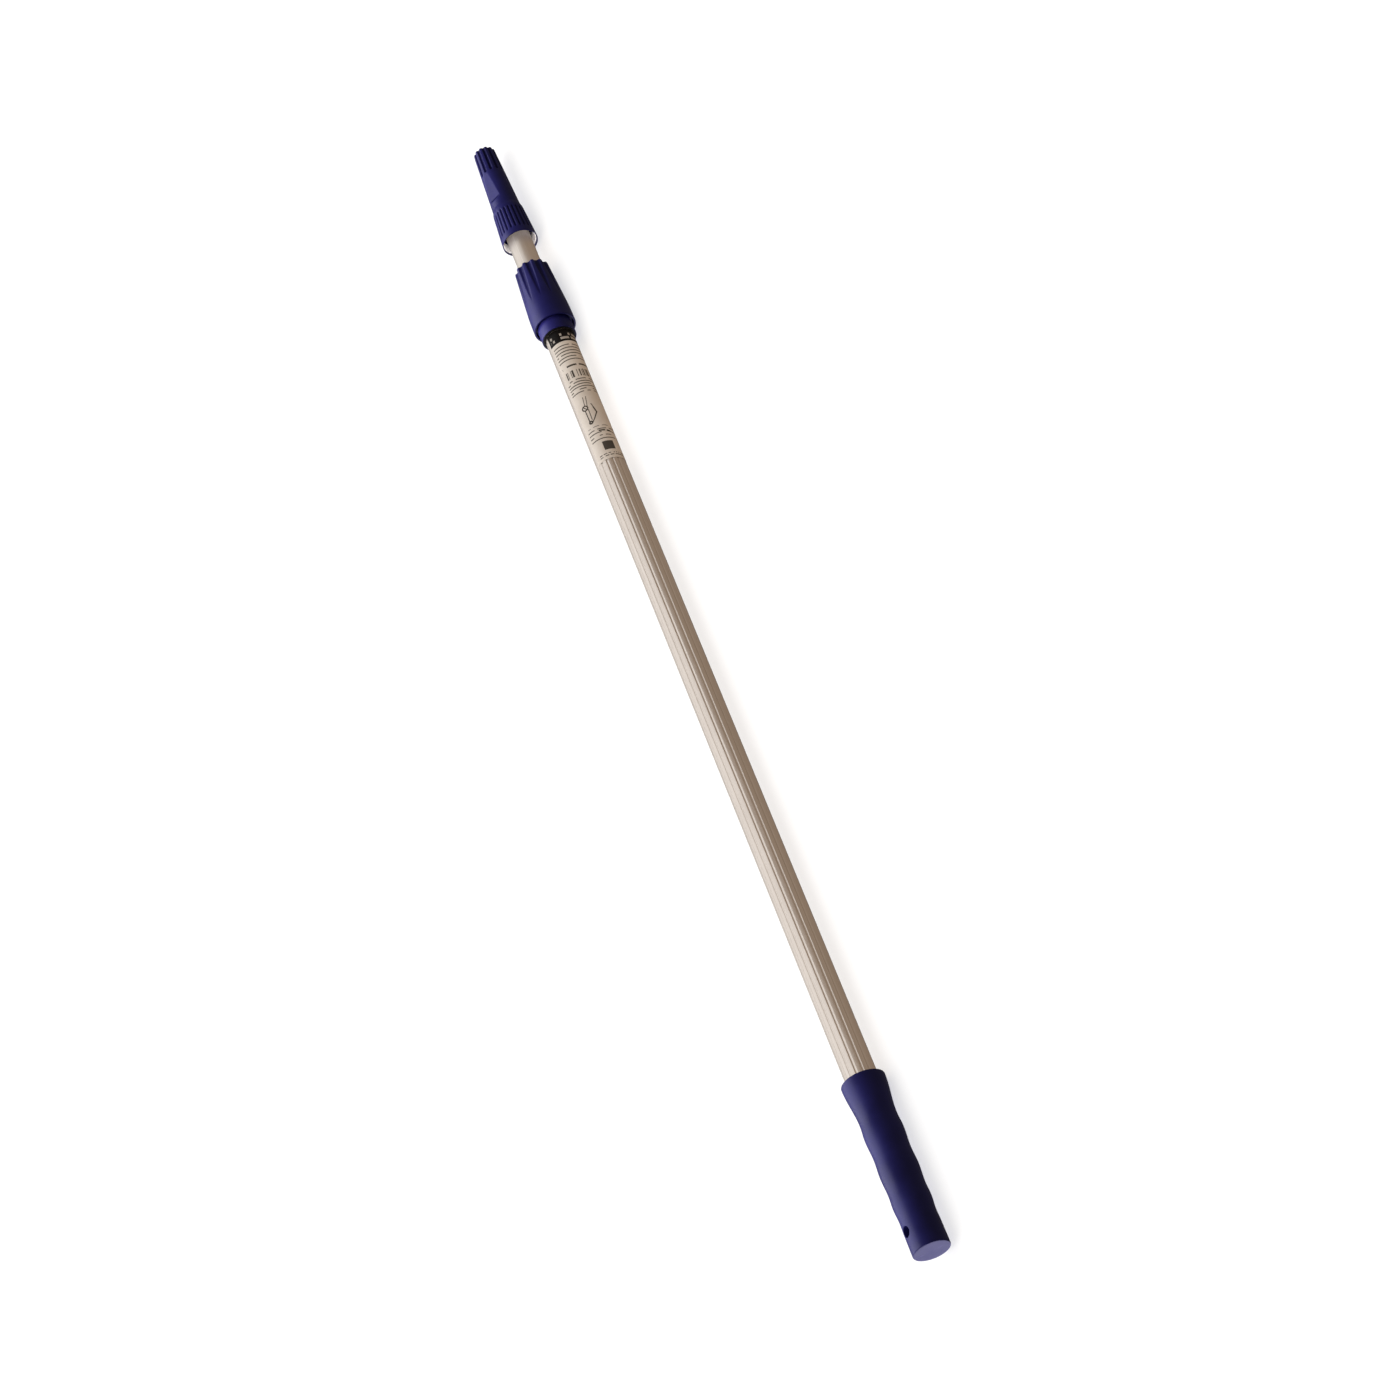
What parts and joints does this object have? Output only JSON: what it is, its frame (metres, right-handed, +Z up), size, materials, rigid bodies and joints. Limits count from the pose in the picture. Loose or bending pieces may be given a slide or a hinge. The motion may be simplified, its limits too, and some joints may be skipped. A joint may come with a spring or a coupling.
{
  "type": "telescopic extension pole",
  "caption": "Telescopic extension pole with a fluted outer tube, moulded grip with hang hole, ribbed twist-lock nut, smooth inner tube and tapered splined spigot.",
  "frame": {"origin": "below the middle of the pole's length, in its centre plane, at the height of the lock nut's lowest point, which is the surface that the pole lies on", "axes": "+X along the pole from the butt to the spigot's end, +Z up along the hang hole's axis, +Y across, to the pole's left as seen from the butt"},
  "size_m": [1.142, 0.0374, 0.0374],
  "materials": {
    "tube_aluminium": "satin, warm silver anodised",
    "blue_plastic": "satin dark blue-violet moulding",
    "black_rubber": "matt black",
    "natural_nylon": "uncoloured moulding",
    "grey_plastic": "dark grey moulding",
    "white_plastic": "white moulding",
    "pin_steel": "plain steel",
    "label_film": "thin printed film"
  },
  "bodies": {
    "handle": {"outer_tube": "tube_aluminium", "grip": "blue_plastic", "butt_plug": "grey_plastic", "lock_base": "blue_plastic", "base_pins": "pin_steel", "neck_seal": "black_rubber", "mouth_bush": "natural_nylon", "clamp_jaws": "natural_nylon", "label": "label_film"},
    "clamp": {"clamp_ring": "grey_plastic"},
    "nut": {"lock_nut": "blue_plastic", "nut_wiper": "black_rubber"},
    "glide": {"glide_ring": "natural_nylon"},
    "inner": {"inner_tube": "tube_aluminium", "end_plug": "grey_plastic", "tip_plug": "grey_plastic", "spigot": "blue_plastic", "tip_collar": "blue_plastic", "skirt_liner": "white_plastic", "tip_pin": "pin_steel"}
  },
  "joints": [
    {"name": "clamp_travel", "type": "slide", "parent": "handle", "child": "clamp", "axis": [1, 0, 0], "range_m": [0, 0.003]},
    {"name": "nut_turn", "type": "hinge", "parent": "clamp", "child": "nut", "pos_m": [0.38, 0, 0.0187], "axis": [1, 0, 0], "range_deg": [0, 270]},
    {"name": "extend", "type": "slide", "parent": "handle", "child": "glide", "axis": [1, 0, 0], "range_m": [-0.032, 0.82]},
    {"name": "inner_turn", "type": "hinge", "parent": "glide", "child": "inner", "pos_m": [0.3, 0, 0.0187], "axis": [1, 0, 0], "continuous": true}
  ],
  "couplings": [
    {"joint": "nut_turn", "follows": "clamp_travel", "rad_per_m": 1570.8}
  ]
}
